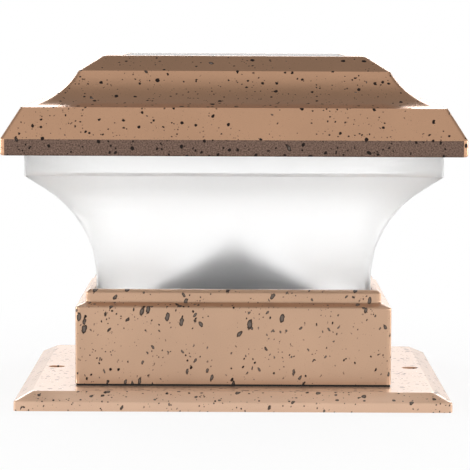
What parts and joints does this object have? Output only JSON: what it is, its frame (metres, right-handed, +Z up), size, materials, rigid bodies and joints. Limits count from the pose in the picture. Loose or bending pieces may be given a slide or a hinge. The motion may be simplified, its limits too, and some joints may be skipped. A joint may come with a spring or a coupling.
{
  "type": "deck post cap light",
  "caption": "Solar post cap light: a stepped square roof with a solar panel lifts off a flared frosted lens on a box base with a square mounting flange.",
  "frame": {"origin": "centre of the bottom of the mounting flange", "axes": "+Z up, front of the light towards -Y, +X to the right seen from the front"},
  "size_m": [0.155, 0.155, 0.1185],
  "materials": {
    "copper_paint": "metallic hammered copper, dark speckles",
    "frosted_lens": "frosted",
    "mirror_plastic": "metallised",
    "black_rubber": "matte",
    "grey_rubber": "matte",
    "foam_tape": "matte",
    "post_plastic": "fine grain",
    "white_plastic": "fine grain",
    "zinc_steel": "zinc plated",
    "spring_steel": "nickel plated",
    "solar_board": "satin",
    "silicon": "dark blue",
    "tinned_copper": "tinned",
    "clear_cover": "clear",
    "battery_sleeve": "shrink sleeve",
    "circuit_green": "solder mask",
    "chip_black": "moulded",
    "ferrite": "wound, lacquered",
    "led_resin": "clear resin",
    "switch_metal": "plated",
    "black_plastic": "moulded",
    "red_wire": "soft PVC",
    "black_wire": "soft PVC"
  },
  "bodies": {
    "base": {"mounting_flange": "copper_paint", "base_gasket": "black_rubber", "base_housing": "copper_paint", "post_pads": "post_plastic", "base_screws": "zinc_steel", "lens_gasket": "grey_rubber", "lens": "frosted_lens", "rim_seal": "grey_rubber", "reflector": "mirror_plastic", "reflector_screws": "zinc_steel"},
    "roof": {"roof_cap": "copper_paint", "panel_seal": "foam_tape", "solar_board": "solar_board", "solar_cells": "silicon", "cell_ribbons": "tinned_copper", "panel_cover": "clear_cover", "battery_tray": "white_plastic", "tray_screws": "zinc_steel", "hinge_pin": "spring_steel", "battery_cell": "battery_sleeve", "contact_plate": "spring_steel", "contact_spring": "spring_steel", "circuit_board": "circuit_green", "board_screws": "zinc_steel", "driver_chip": "chip_black", "inductor": "ferrite", "led": "led_resin", "led_cover": "clear_cover", "switch_body": "switch_metal", "battery_lead_red": "red_wire", "battery_lead_black": "black_wire", "panel_lead_red": "red_wire", "panel_lead_black": "black_wire"},
    "battery_door": {"battery_door": "white_plastic"},
    "switch": {"switch_slider": "black_plastic"}
  },
  "joints": [
    {"name": "roof_lift", "type": "slide", "parent": "base", "child": "roof", "axis": [0, 0, 1], "range_m": [0, 0.05]},
    {"name": "battery_door_hinge", "type": "hinge", "parent": "roof", "child": "battery_door", "pos_m": [0, 0.038, 0.08917], "axis": [1, 0, 0], "range_deg": [0, 95]},
    {"name": "switch_slide", "type": "slide", "parent": "roof", "child": "switch", "axis": [1, 0, 0], "range_m": [0, 0.0025]}
  ]
}
